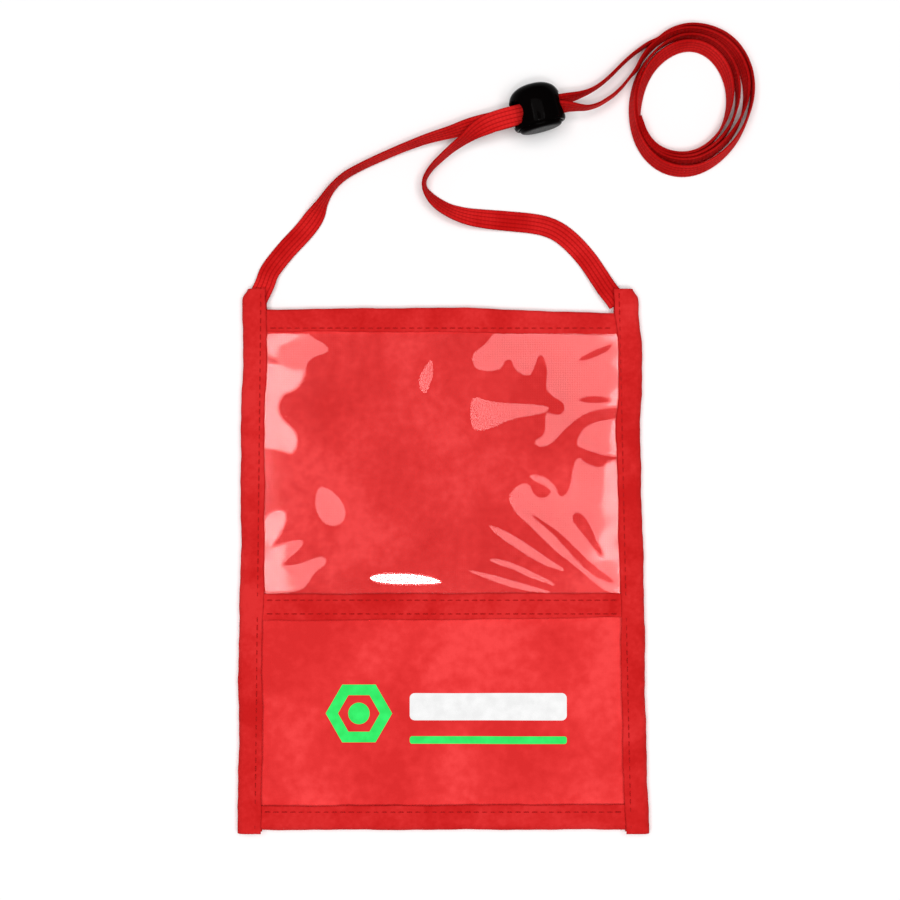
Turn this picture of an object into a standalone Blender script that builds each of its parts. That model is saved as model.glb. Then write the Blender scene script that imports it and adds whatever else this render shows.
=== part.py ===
"""A lanyard badge holder lying face up: a fabric neck wallet with a clear window, its flat strap and its cord lock.

X runs across the wallet, Y up it towards the strap, and Z out of its face. Z = 0 is the surface it lies on.
"""

import math

import bmesh
import bpy
from mathutils import Matrix, Vector

MM = 0.001

# The wallet's outline: straight sides that lean in towards the top.
HALF_HEIGHT = 86.1
BOTTOM_HALF_WIDTH = 65.0
LEFT_LEAN = 1.9
RIGHT_LEAN = 3.8

# Fabric and tape.
CLOTH = 0.4
BINDING_WIDTH = 7.6
GAP = 0.3
TOP_HEM = (72.2, 79.2)
BOTTOM_BINDING = (-85.2, -77.3)
MIDDLE_TAPE = (-18.0, -10.7)
PANEL_INSET = 2.6
PANEL_TOP = 78.2
PANEL_BOTTOM = -83.6

# Heights of the layers above the surface.
BACK_PANEL_Z = 0.7
FRONT_PANEL_Z = 2.8
VINYL_Z = 3.55
VINYL_THICKNESS = 0.25
VINYL_EDGES = (-16.0, 71.6)
VINYL_INSET = 3.6
TAPE_Z = 4.1
BINDING_HEIGHT = TAPE_Z + CLOTH
BACK_HEM_Z = 0.0
FRONT_HEM_Z = 2.1
HEM_HEIGHT = 1.8

# Stitching.
STITCH_PITCH = 2.6
THREAD_RADIUS = 0.22
THREAD_WAVE = 0.12
SIDE_STITCH_INSET = 1.8
TOP_STITCH_Y = 73.4
MIDDLE_STITCHES_Y = {"upper": -12.5, "lower": -16.4}
BOTTOM_STITCH_Y = -79.2

# The strap: a flat tape. Each route point is (x, y, z of its middle, roll in degrees): 0 lies flat and 90
# stands on edge, its left side up as seen along the route.
STRAP_WIDTH = 6.3
STRAP_THICKNESS = 0.8
STRAP_STEP = 2.0
LEFT_ROUTE = [
    (-59.4, 80.6, 2.3, 0), (-58.2, 83.4, 2.3, 0), (-56.4, 87.2, 2.1, 0), (-54.6, 91.8, 1.4, 0),
    (-49.8, 98.1, 0.8, 0), (-44.5, 103.8, 0.9, 4), (-41.0, 108.2, 1.6, 22), (-38.2, 112.9, 3.0, 62),
    (-35.0, 117.7, 3.3, 76), (-30.9, 121.5, 3.3, 78), (-25.6, 124.5, 3.3, 78), (-20.2, 127.0, 3.5, 77),
    (-14.8, 129.3, 3.9, 76), (-9.8, 131.2, 4.5, 74), (-4.4, 133.0, 5.3, 70), (2.2, 134.7, 6.3, 62),
    (8.3, 136.3, 7.2, 45), (15.3, 137.6, 7.75, 18), (21.6, 139.3, 7.8, 5), (29.2, 141.7, 7.85, 32),
    (36.8, 144.4, 7.8, 62), (42.6, 146.2, 6.8, 80), (46.3, 147.8, 6.0, 88), (49.9, 150.2, 5.3, 90),
    (53.4, 153.4, 4.6, 90), (56.6, 156.7, 4.0, 90), (60.3, 160.0, 3.6, 90), (64.3, 162.8, 3.4, 89),
]
RIGHT_ROUTE = [
    (55.3, 81.2, 2.3, 0), (54.0, 83.1, 2.3, 0), (51.6, 86.2, 2.1, 0), (49.3, 89.8, 1.5, 0),
    (45.7, 95.2, 0.8, 0), (41.3, 100.2, 0.7, 0), (36.9, 103.8, 0.7, 0), (32.5, 105.8, 0.7, 0),
    (27.4, 106.8, 0.7, 0), (20.0, 107.5, 0.8, 4), (12.9, 108.1, 1.5, 16), (7.3, 108.9, 2.2, 30),
    (2.2, 110.5, 2.9, 44), (-1.9, 112.9, 3.2, 53), (-4.6, 115.6, 3.5, 66), (-5.9, 118.2, 3.7, 80),
    (-5.6, 120.8, 3.9, 84), (-3.6, 123.9, 4.3, 82), (-0.6, 126.8, 5.0, 79), (2.8, 129.6, 6.3, 75),
    (6.6, 132.2, 7.8, 66), (10.4, 134.9, 8.8, 44), (15.3, 137.3, 9.2, 16), (21.6, 139.2, 9.2, 4),
    (29.4, 140.9, 9.15, 32), (37.3, 142.1, 8.9, 62), (41.8, 142.2, 7.7, 80), (45.2, 142.3, 6.7, 88),
    (48.4, 143.3, 5.8, 90), (51.0, 144.8, 5.1, 90), (53.9, 146.9, 4.5, 90), (56.6, 149.6, 4.0, 90),
    (59.3, 153.0, 3.5, 90),
]

# The coil of spare strap, standing on edge: an oval ring, its major axis leaning to the right.
COIL_CENTRE = (78.9, 145.3)
COIL_RADII = (19.2, 24.2)
COIL_HOLE_CENTRE = (75.7, 145.0)
COIL_HOLE_RADII = (12.9, 16.3)
COIL_LEAN = 12
COIL_BOTTOM = 0.1
COIL_HEIGHT = 6.4
COIL_SIDES = 64

# The cord lock, turned about its own Z, along which its button is pressed. The strap passes along its X.
LOCK_CENTRE = (29.0, 142.5, 8.5)
LOCK_ANGLE = 14.5
LOCK_ROLL = 12
TURN_STEPS = 40
SLOT_Z = (-4.85, 2.4)
SLOT_HALF_WIDTH = 4.9
SLOT_ROUNDING = 1.2
MOUTH_FROM_CENTRE = 8.6
MOUTH_RADII = (4.2, 7.2, 4.2)
CAVITY_RADIUS = 7.1
CAVITY_TOP = 3.9
BRIDGE_ROOM = (6.1, 4.85)
SPRING_ROOM = (4.2, 6.2)
RIM_Z = -6.3
BUTTON_BOTTOM = -7.7
BUTTON_TOP = -6.15
PLUNGER_RADIUS = 6.75
PLUNGER_WINDOW_HALF_WIDTH = 5.05
CHEEK_TOP = 2.5
BRIDGE_RADIUS = 5.8
BRIDGE_Z = (2.45, 3.4)
SPRING_Z = (3.75, 5.85)
SPRING_RADIUS = 3.2
SPRING_WIRE_RADIUS = 0.2
SPRING_TURNS = 2.25
SPRING_POINTS_PER_TURN = 20


def clear_scene():
    for obj in list(bpy.data.objects):
        bpy.data.objects.remove(obj, do_unlink=True)


def new_collection(name):
    collection = bpy.data.collections.new(name)
    bpy.context.scene.collection.children.link(collection)
    return collection


def material(name, colour, roughness, metallic=0.0, alpha=1.0):
    made = bpy.data.materials.new(name)
    made.use_nodes = True
    shader = made.node_tree.nodes["Principled BSDF"]
    shader.inputs["Base Color"].default_value = (*colour, 1.0)
    shader.inputs["Roughness"].default_value = roughness
    shader.inputs["Metallic"].default_value = metallic
    shader.inputs["Alpha"].default_value = alpha
    return made


def cloth_material(name):
    return material(name, (0.72, 0.03, 0.035), 0.8)


def add_object(name, data, collection, look=None):
    obj = bpy.data.objects.new(name, data)
    if look:
        data.materials.append(look)
    collection.objects.link(obj)
    return obj


def side_edge(side, y):
    """The x of the wallet's outer edge at a height y: side is -1 for the left and 1 for the right."""
    lean = RIGHT_LEAN if side > 0 else LEFT_LEAN
    return side * (BOTTOM_HALF_WIDTH - lean * (y + HALF_HEIGHT) / (2 * HALF_HEIGHT))


def four_sided(bottom, top, inset):
    """The corners of a flat piece between two heights, each side that far in from the wallet's edge."""
    corners = [(-1, bottom), (1, bottom), (1, top), (-1, top)]
    return [(side_edge(side, y) - side * inset, y) for side, y in corners]


def closed_spline(curve, points):
    spline = curve.splines.new("POLY")
    spline.points.add(len(points) - 1)
    for slot, (x, y) in zip(spline.points, points):
        slot.co = (x * MM, y * MM, 0.0, 1.0)
    spline.use_cyclic_u = True


def flat_curve(name, outlines, thickness):
    """A 2D curve filled between its outlines, centred on its own plane."""
    curve = bpy.data.curves.new(name, "CURVE")
    curve.dimensions = "2D"
    curve.fill_mode = "BOTH"
    curve.extrude = thickness / 2 * MM
    for points in outlines:
        closed_spline(curve, points)
    return curve


def flat_piece(name, outline, base, thickness, collection, look):
    obj = add_object(name, flat_curve(name, [outline], thickness), collection, look)
    obj.location.z = (base + thickness / 2) * MM
    return obj


def arc(centre, radius, start, end, steps):
    turns = [math.radians(start + (end - start) * i / steps) for i in range(steps + 1)]
    return [(centre[0] + radius * math.cos(a), centre[1] + radius * math.sin(a)) for a in turns]


def fold_profile(width, height):
    """Tape folded in half round an edge: the fold is at +x and both layers end at x = 0."""
    outer = height / 2
    centre = (width - outer, outer)
    outside = [(0, 0)] + arc(centre, outer, -90, 90, 10) + [(0, height)]
    inside = [(0, height - CLOTH)] + arc(centre, outer - CLOTH, 90, -90, 10) + [(0, CLOTH)]
    return outside + inside


def folded_tape(name, width, height, length, base, collection, look):
    """Its length runs along Y, its fold faces +X, and its middle is at the object's origin."""
    profile = [(x - width, z) for x, z in fold_profile(width, height)]
    curve = flat_curve(name, [profile], length)
    obj = add_object(name, curve, collection, look)
    obj.location.z = base * MM
    obj.rotation_euler = (math.radians(90), 0, 0)
    return obj


def turn_about_z(obj, degrees):
    obj.rotation_euler = (Matrix.Rotation(math.radians(degrees), 3, "Z") @ obj.rotation_euler.to_matrix()).to_euler()


def side_binding(side, collection, look):
    name = "right_binding" if side > 0 else "left_binding"
    lean = math.degrees(math.atan(side * (side_edge(side, -HALF_HEIGHT) - side_edge(side, HALF_HEIGHT)) / (2 * HALF_HEIGHT)))
    length = 2 * HALF_HEIGHT - BINDING_WIDTH * math.sin(math.radians(abs(lean)))
    obj = folded_tape(name, BINDING_WIDTH, BINDING_HEIGHT, length, 0, collection, look)
    turn_about_z(obj, side * lean if side > 0 else 180 - lean)
    obj.location.x = side_edge(side, 0) * MM
    return obj


def cross_binding(name, low, high, fold_up, base, height, collection, look):
    """A folded tape across the wallet, between the side bindings."""
    middle = (low + high) / 2
    inner = [side_edge(side, middle) - side * (BINDING_WIDTH + GAP) for side in (-1, 1)]
    obj = folded_tape(name, high - low, height, inner[1] - inner[0], base, collection, look)
    turn_about_z(obj, 90 if fold_up else -90)
    obj.location.x = sum(inner) / 2 * MM
    obj.location.y = (high if fold_up else low) * MM
    return obj


def wallet(collection):
    """The panels, the clear window and the tapes that bind them."""
    panel = four_sided(PANEL_BOTTOM, PANEL_TOP, PANEL_INSET)
    flat_piece("back_panel", panel, BACK_PANEL_Z, CLOTH, collection, cloth_material("back cloth"))
    flat_piece("front_panel", panel, FRONT_PANEL_Z, CLOTH, collection, cloth_material("front cloth"))
    window = four_sided(*VINYL_EDGES, VINYL_INSET)
    clear = material("clear vinyl", (1.0, 0.8, 0.8), 0.08, alpha=0.35)
    flat_piece("vinyl_window", window, VINYL_Z, VINYL_THICKNESS, collection, clear)
    tape = four_sided(*MIDDLE_TAPE, BINDING_WIDTH + GAP)
    flat_piece("middle_tape", tape, TAPE_Z, CLOTH, collection, cloth_material("middle tape"))
    cross_binding("front_top_hem", *TOP_HEM, True, FRONT_HEM_Z, HEM_HEIGHT, collection, cloth_material("front hem"))
    cross_binding("back_top_hem", *TOP_HEM, True, BACK_HEM_Z, HEM_HEIGHT, collection, cloth_material("back hem"))
    cross_binding(
        "bottom_binding", *BOTTOM_BINDING, False, 0, BINDING_HEIGHT, collection, cloth_material("bottom tape")
    )
    side_binding(-1, collection, cloth_material("left tape"))
    side_binding(1, collection, cloth_material("right tape"))


def tube(name, points, radius, resolution, collection, look):
    curve = bpy.data.curves.new(name, "CURVE")
    curve.dimensions = "3D"
    curve.bevel_depth = radius * MM
    curve.bevel_resolution = resolution
    curve.use_fill_caps = True
    spline = curve.splines.new("POLY")
    spline.points.add(len(points) - 1)
    for slot, (x, y, z) in zip(spline.points, points):
        slot.co = (x * MM, y * MM, z * MM, 1.0)
    return add_object(name, curve, collection, look)


def thread_row(name, start, end, surface, collection):
    """A sewn row between two (x, y) ends: the thread rises over each stitch and dips between them."""
    stitches = round(math.dist(start, end) / STITCH_PITCH)
    middle = surface + THREAD_RADIUS + THREAD_WAVE + 0.03
    points = []
    for i in range(2 * stitches + 1):
        along = i / (2 * stitches)
        x, y = (a + (b - a) * along for a, b in zip(start, end))
        points.append((x, y, middle + THREAD_WAVE * (1 if i % 2 else -1)))
    return tube(name, points, THREAD_RADIUS, 0, collection, material(name, (0.6, 0.02, 0.03), 0.7))


def stitching(collection):
    for side, name in ((-1, "left_stitching"), (1, "right_stitching")):
        inset = BINDING_WIDTH - SIDE_STITCH_INSET
        ends = [(side_edge(side, y) - side * inset, y) for y in (-HALF_HEIGHT + 1.2, HALF_HEIGHT - 1.2)]
        thread_row(name, *ends, BINDING_HEIGHT, collection)
    rows = [("top_hem_stitching", TOP_STITCH_Y, FRONT_HEM_Z + HEM_HEIGHT)]
    rows += [(f"middle_{where}_stitching", y, TAPE_Z + CLOTH) for where, y in MIDDLE_STITCHES_Y.items()]
    rows.append(("bottom_stitching", BOTTOM_STITCH_Y, BINDING_HEIGHT))
    for name, y, surface in rows:
        ends = [(side_edge(side, y) - side * (BINDING_WIDTH + 2 * GAP), y) for side in (-1, 1)]
        thread_row(name, *ends, surface, collection)


def smooth_route(route, step):
    """Points about a step apart on a smooth curve through the route, its roll carried along."""
    rows = [Vector(point) for point in route]
    rows = [2 * rows[0] - rows[1], *rows, 2 * rows[-1] - rows[-2]]
    points = []
    for before, start, end, after in zip(rows, rows[1:], rows[2:], rows[3:]):
        pieces = max(1, round((end - start).to_3d().length / step))
        for i in range(pieces):
            t = i / pieces
            points.append(
                0.5 * (
                    2 * start + (end - before) * t + (2 * before - 5 * start + 4 * end - after) * t**2
                    + (3 * start - before - 3 * end + after) * t**3
                )
            )
    return points + [rows[-2]]


def strap_leg(name, route, collection):
    """A flat tape: a curve extruded to its width, with rounded edges, tilted to its roll."""
    curve = bpy.data.curves.new(name, "CURVE")
    curve.dimensions = "3D"
    curve.twist_mode = "Z_UP"
    curve.extrude = (STRAP_WIDTH - STRAP_THICKNESS) / 2 * MM
    curve.bevel_depth = STRAP_THICKNESS / 2 * MM
    curve.bevel_resolution = 1
    curve.use_fill_caps = True
    points = smooth_route(route, STRAP_STEP)
    spline = curve.splines.new("POLY")
    spline.points.add(len(points) - 1)
    for slot, (x, y, z, roll) in zip(spline.points, points):
        slot.co = (x * MM, y * MM, z * MM, 1.0)
        slot.tilt = math.radians(90 + roll)
    return add_object(name, curve, collection, material(name, (0.66, 0.02, 0.03), 0.75))


def oval(centre, radii, sides):
    lean = math.radians(COIL_LEAN)
    points = []
    for i in range(sides):
        turn = 2 * math.pi * i / sides
        x, y = radii[0] * math.cos(turn), radii[1] * math.sin(turn)
        points.append(
            (centre[0] + x * math.cos(lean) + y * math.sin(lean), centre[1] - x * math.sin(lean) + y * math.cos(lean))
        )
    return points


def strap(collection):
    """The two legs from the wallet through the lock to the coil, and the coil as its outer shape."""
    strap_leg("strap_left_leg", LEFT_ROUTE, collection)
    strap_leg("strap_right_leg", RIGHT_ROUTE, collection)
    outlines = [
        oval(COIL_CENTRE, COIL_RADII, COIL_SIDES),
        oval(COIL_HOLE_CENTRE, COIL_HOLE_RADII, COIL_SIDES),
    ]
    look = material("strap coil", (0.62, 0.02, 0.03), 0.75)
    coil = add_object("strap_coil", flat_curve("strap_coil", outlines, COIL_HEIGHT), collection, look)
    coil.location.z = (COIL_BOTTOM + COIL_HEIGHT / 2) * MM


def turned(name, profile, collection, look=None):
    """A profile of (radius, z) points, turned about the object's own Z."""
    mesh = bpy.data.meshes.new(name)
    shape = bmesh.new()
    corners = [shape.verts.new((r * MM, 0.0, z * MM)) for r, z in profile]
    for a, b in zip(corners, corners[1:]):
        shape.edges.new((a, b))
    shape.to_mesh(mesh)
    shape.free()
    obj = add_object(name, mesh, collection, look)
    screw = obj.modifiers.new("turn", "SCREW")
    screw.axis = "Z"
    screw.steps = screw.render_steps = TURN_STEPS
    screw.use_merge_vertices = True
    screw.merge_threshold = 1e-5
    screw.use_smooth_shade = True
    screw.use_normal_calculate = True
    return obj


def box_cutter(name, low, high, collection, rounding=0.0):
    mesh = bpy.data.meshes.new(name)
    shape = bmesh.new()
    bmesh.ops.create_cube(shape, size=1.0)
    size = [(b - a) * MM for a, b in zip(low, high)]
    bmesh.ops.scale(shape, vec=size, verts=shape.verts)
    bmesh.ops.translate(shape, vec=[(a + b) / 2 * MM for a, b in zip(low, high)], verts=shape.verts)
    if rounding:
        along_x = [e for e in shape.edges if abs(e.verts[0].co.x - e.verts[1].co.x) > MM]
        bmesh.ops.bevel(shape, geom=along_x, offset=rounding * MM, segments=4, affect="EDGES", profile=0.5)
    shape.to_mesh(mesh)
    shape.free()
    return add_object(name, mesh, collection)


def mouth_cutter(name, side, collection):
    """An egg-shaped hollow that flares one mouth of the slot."""
    mesh = bpy.data.meshes.new(name)
    shape = bmesh.new()
    bmesh.ops.create_uvsphere(shape, u_segments=24, v_segments=12, radius=1.0)
    bmesh.ops.scale(shape, vec=[radius * MM for radius in MOUTH_RADII], verts=shape.verts)
    centre = (side * MOUTH_FROM_CENTRE * MM, 0.0, sum(SLOT_Z) / 2 * MM)
    bmesh.ops.translate(shape, vec=centre, verts=shape.verts)
    shape.to_mesh(mesh)
    shape.free()
    return add_object(name, mesh, collection)


def cut(obj, cutters):
    for cutter in cutters:
        cutter.hide_render = True
        cutter.display_type = "WIRE"
        boolean = obj.modifiers.new(cutter.name, "BOOLEAN")
        boolean.operation = "DIFFERENCE"
        boolean.solver = "EXACT"
        boolean.object = cutter


def barrel_profile():
    dome = [(0.0, 7.7), (2.0, 7.6), (3.8, 7.2), (5.4, 6.4), (6.7, 5.35), (7.6, 4.0), (8.15, 2.3), (8.4, 0.2)]
    side = [(8.4, -2.6), (8.3, -4.6), (8.1, -5.9), (7.75, RIM_Z)]
    cavity = [
        (CAVITY_RADIUS, RIM_Z), (CAVITY_RADIUS, CAVITY_TOP), (BRIDGE_ROOM[0], CAVITY_TOP), BRIDGE_ROOM,
        (SPRING_ROOM[0], BRIDGE_ROOM[1]), SPRING_ROOM, (0.0, SPRING_ROOM[1]),
    ]
    return dome + side + cavity


def plunger_profile():
    button = [(0.0, BUTTON_BOTTOM), (5.6, BUTTON_BOTTOM), (6.45, BUTTON_BOTTOM + 0.25)]
    body = [(PLUNGER_RADIUS, BUTTON_BOTTOM + 0.8), (PLUNGER_RADIUS, CHEEK_TOP), (BRIDGE_RADIUS, CHEEK_TOP)]
    return button + body + [(BRIDGE_RADIUS, BRIDGE_Z[1]), (0.0, BRIDGE_Z[1])]


def spring_points():
    points = []
    total = round(SPRING_TURNS * SPRING_POINTS_PER_TURN)
    for i in range(total + 1):
        turn = 2 * math.pi * i / SPRING_POINTS_PER_TURN
        z = SPRING_Z[0] + (SPRING_Z[1] - SPRING_Z[0]) * i / total
        points.append((SPRING_RADIUS * math.cos(turn), SPRING_RADIUS * math.sin(turn), z))
    return points


def cord_lock(collection, cutters):
    """A barrel with an oblong slot for the strap, a button that is pressed into it, and the spring between them."""
    black = (0.012, 0.012, 0.014)
    barrel = turned("lock_barrel", barrel_profile(), collection, material("lock barrel", black, 0.12))
    plunger = turned("lock_plunger", plunger_profile(), collection, material("lock plunger", black, 0.15))
    steel = material("lock spring", (0.55, 0.55, 0.57), 0.3, metallic=1.0)
    spring = tube("lock_spring", spring_points(), SPRING_WIRE_RADIUS, 1, collection, steel)

    reach = 12
    slot = box_cutter(
        "slot_cutter", (-reach, -SLOT_HALF_WIDTH, SLOT_Z[0]), (reach, SLOT_HALF_WIDTH, SLOT_Z[1]), cutters, SLOT_ROUNDING
    )
    window_half = PLUNGER_WINDOW_HALF_WIDTH
    window = box_cutter(
        "plunger_window_cutter", (-reach, -window_half, BUTTON_TOP), (reach, window_half, BRIDGE_Z[0]), cutters
    )
    mouths = [mouth_cutter(f"mouth_cutter_{side}", side, cutters) for side in (-1, 1)]
    cut(barrel, [slot, *mouths])
    cut(plunger, [window])

    lock = bpy.data.objects.new("lock_frame", None)
    collection.objects.link(lock)
    lock.matrix_world = (
        Matrix.Translation([value * MM for value in LOCK_CENTRE])
        @ Matrix.Rotation(math.radians(LOCK_ANGLE), 4, "Z")
        @ Matrix.Rotation(math.radians(-90), 4, "X")
        @ Matrix.Rotation(math.radians(LOCK_ROLL), 4, "Z")
    )
    for obj in (barrel, plunger, spring, slot, window, *mouths):
        obj.parent = lock


def main():
    clear_scene()
    holder = new_collection("lanyard_badge_holder")
    cutters = new_collection("cutters")
    wallet(holder)
    stitching(holder)
    strap(holder)
    cord_lock(holder, cutters)


main()
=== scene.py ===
"""A red fabric neck wallet with a clear window, a ribbed strap and a cord lock, face up on a pale floor.

Lengths are in millimetres until a mesh or an object is made, and in metres from there on.
"""

import math

import bmesh
import bpy
import numpy as np
from mathutils import Matrix, Vector


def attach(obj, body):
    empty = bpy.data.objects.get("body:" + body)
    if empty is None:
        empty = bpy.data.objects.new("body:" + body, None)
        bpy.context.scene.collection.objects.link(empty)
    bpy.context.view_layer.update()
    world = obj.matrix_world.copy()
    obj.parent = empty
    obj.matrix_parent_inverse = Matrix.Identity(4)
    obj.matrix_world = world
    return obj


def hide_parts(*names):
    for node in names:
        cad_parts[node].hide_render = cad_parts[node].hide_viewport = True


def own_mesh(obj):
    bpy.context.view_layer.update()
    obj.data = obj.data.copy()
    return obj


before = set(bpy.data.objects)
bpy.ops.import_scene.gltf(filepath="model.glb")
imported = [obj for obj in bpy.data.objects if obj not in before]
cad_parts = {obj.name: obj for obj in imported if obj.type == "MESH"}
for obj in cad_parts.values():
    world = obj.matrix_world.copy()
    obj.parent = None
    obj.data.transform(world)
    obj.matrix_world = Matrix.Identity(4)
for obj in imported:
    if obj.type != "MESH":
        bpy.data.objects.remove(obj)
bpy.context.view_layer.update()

MM = 0.001

# The wallet's outline, as in the CAD: straight sides that lean in towards the top.
HALF_HEIGHT = 86.1
BOTTOM_HALF_WIDTH = 65.0
LEFT_LEAN = 1.9
RIGHT_LEAN = 3.8
BINDING_WIDTH = 7.6
BINDING_HEIGHT = 4.5
TAPE = 0.4
TOP_HEM = (72.2, 79.2)
BOTTOM_BINDING = (-85.2, -77.3)
MIDDLE_TAPE = (-18.0, -10.7)
PANEL_INSET = 2.6
PANEL_TOP = 78.2
PANEL_BOTTOM = -83.6
FRONT_PANEL_Z = 3.0
FRONT_PANEL_GRID = (150, 210)
BACK_PANEL_Z = 0.9
BACK_PANEL_GRID = (80, 110)
BACK_PANEL_WAVE = 0.12
VINYL_EDGES = (-16.0, 71.6)
VINYL_INSET = 3.6
VINYL_THICKNESS = 0.22
VINYL_GRID = (300, 225)
VINYL_CLEARANCE = 0.62
VINYL_BOW = 0.85
VINYL_WAVE = 0.12
TAPE_TOP = 4.5
FRONT_HEM_Z = 2.1
HEM_HEIGHT = 1.8
# Where the side bindings ride over the cross tapes' ends.
CROSS_TAPES_Y = (-81.2, -14.4)

# How far the front cloth swells and puckers.
POCKET_PUFF = 0.55
POCKET_WAVE = 0.45
POCKET_DIAGONAL = 0.22
WINDOW_WAVE = 0.22
BOTTOM_PUCKER = 0.26
TOP_PUCKER = 0.14

# How far each outer edge swells from its straight line: (y, offset).
LEFT_EDGE = [(-86.1, 0.1), (-62, -0.2), (-30, 0.25), (5, -0.15), (38, 0.3), (66, -0.1), (86.1, 0.2)]
RIGHT_EDGE = [(-86.1, 0.1), (-50, -0.2), (-10, 0.2), (40, 0.0), (53, 0.9), (68, 1.2), (80, 0.5), (86.1, 0.2)]

# Creases of the clear window, as outlines. The bright facets lean out towards the softboxes.
BRIGHT_FACETS = [
    [(-62.5, 76), (-46, 76), (-43.9, 71.7), (-34.0, 66.4), (-43.0, 64.2), (-43.4, 57.9), (-46.7, 53.6),
     (-50.6, 52.8), (-52.3, 48.4), (-51.0, 44.9), (-46.7, 41.3), (-45.6, 37.4), (-47.5, 33.4), (-52.2, 35.4),
     (-62.5, 35.8)],
    [(-38.5, 24.0), (-33.3, 20.8), (-30.5, 16.1), (-31.3, 12.7), (-33.7, 11.0), (-37.2, 11.8), (-39.7, 15.3),
     (-40.3, 20.0)],
    [(-3.4, 64.3), (-2.8, 59.1), (-4.5, 54.0), (-5.9, 52.3), (-7.4, 54.2), (-7.8, 57.5), (-5.8, 61.1)],
    [(-62.5, 10), (-56.2, 12.9), (-53.8, 15.9), (-49.7, 15.9), (-49.4, 12.9), (-51.4, 8.2), (-54.8, 3.7),
     (-50.6, 5.4), (-44.0, 6.9), (-44.6, 4.7), (-49.1, 0.7), (-51.6, -1.7), (-46.7, -1.7), (-37.8, 1.8),
     (-36.4, -0.5), (-41.2, -3.6), (-42.4, -6.8), (-45.1, -9.1), (-50.6, -10), (-62.5, -9.5)],
    [(18.5, 76), (62, 76), (62, 48.8), (53.1, 48.8), (44.8, 47.2), (38.5, 42.1), (34.1, 37.0), (31.0, 35.8),
     (28.0, 37.5), (32.6, 39.8), (32.0, 47.2), (34.9, 45.9), (37.9, 46.0), (38.7, 50.0), (32.2, 53.2),
     (33.1, 60.3), (31.4, 65.0), (29.8, 64.8), (28.6, 60.3), (26.7, 58.0), (22.7, 59.9), (21.5, 63.6),
     (19.6, 63.2), (18.0, 59.9), (10.9, 59.7), (8.9, 63.0), (9.5, 65.8), (14.0, 68.5)],
    [(9.0, 52.4), (14.8, 50.2), (22.7, 49.6), (33.5, 49.0), (32.6, 46.7), (21.9, 44.9), (14.8, 41.6),
     (9.4, 40.7), (8.4, 46.1)],
    [(42.2, 38.2), (45.6, 43.1), (55.0, 44.9), (62, 44.9), (62, 33.1), (52.7, 33.1), (45.6, 35.0),
     (42.3, 36.4)],
    [(42.4, 33.0), (40.8, 28.7), (40.1, 22.4), (37.7, 20.0), (36.0, 20.8), (35.7, 23.6), (31.4, 26.7),
     (27.8, 27.3), (27.0, 26.3), (33.7, 23.0), (34.3, 21.4), (31.4, 19.4), (28.6, 20.8), (26.8, 24.9),
     (22.7, 23.4), (20.1, 20.0), (22.7, 15.3), (28.2, 10.6), (34.5, 3.9), (41.6, -1.3), (49.5, -8.0),
     (52.7, -9.8), (62, -12), (62, 31.9), (52.7, 31.9), (49.5, 28.9), (44.8, 30.7)],
    [(13.6, 11.7), (18.0, 10.4), (25.9, 5.8), (32.2, 1.3), (39.6, -3.4), (33.7, -2.0), (27.4, 1.2),
     (21.9, 4.9), (17.2, 8.0)],
    [(14.0, 1.0), (20.3, 0.1), (27.4, -3.0), (37.4, -8.3), (28.2, -5.6), (21.1, -2.0), (16.4, -0.8)],
    [(5.6, -2.2), (14.0, -3.8), (25.9, -7.4), (36.0, -10.2), (25.9, -9.5), (14.0, -5.8)],
]
DARK_CREASES = [
    [(26.6, 15.8), (34.5, 10.9), (40.1, 6.1), (48.0, -1.8), (55.2, -6.4), (52.7, -7.6), (45.6, -3.8),
     (39.3, 3.2), (33.7, 9.5), (28.2, 13.8)],
    [(40.8, 15.1), (43.2, 15.5), (45.8, 12.9), (48.5, 6.6), (50.7, 2.7), (49.9, 0.9), (47.0, 4.3),
     (42.2, 10.6), (40.5, 12.9)],
    [(41.0, 50.6), (47.0, 52.6), (53.1, 51.4), (52.6, 49.8), (47.0, 49.3)],
    [(42.2, 63.6), (45.6, 65.8), (54.2, 69.4), (52.9, 66.4), (47.2, 63.6), (43.6, 62.8)],
    [(-57.6, 66.4), (-53.0, 64.0), (-51.0, 62.0), (-54.0, 62.2), (-57.6, 63.8)],
]
GLINT = [
    (-23.6, -5.0), (-19.9, -3.9), (-13.6, -3.8), (-5.7, -4.3), (1.2, -6.9), (-5.7, -7.4), (-16.7, -7.3),
    (-21.9, -6.5),
]
GLINT_SLOPE = -0.30
# Slopes that the facets' shading leans by, and how much more of it there is near the window's sides.
FACET_TILT = 0.09
EDGE_TILT = 0.07
# How wide a facet's soft edge is, and how far the facets stand proud.
FACET_EDGE = 0.8
FACET_RELIEF = 0.22

# Sewing.
STITCH_PITCH = 2.6
STITCH_LENGTH = 2.0
THREAD_RADIUS = 0.2
THREAD_PROUD = 0.06
THREAD_SINK = 0.2
SEAM_DEPTH = 0.1
SIDE_STITCH_INSET = 1.8
TOP_STITCH_Y = 73.4
MIDDLE_STITCHES_Y = {"upper": -12.3, "lower": -16.6}
BOTTOM_STITCH_Y = -79.0

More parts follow.
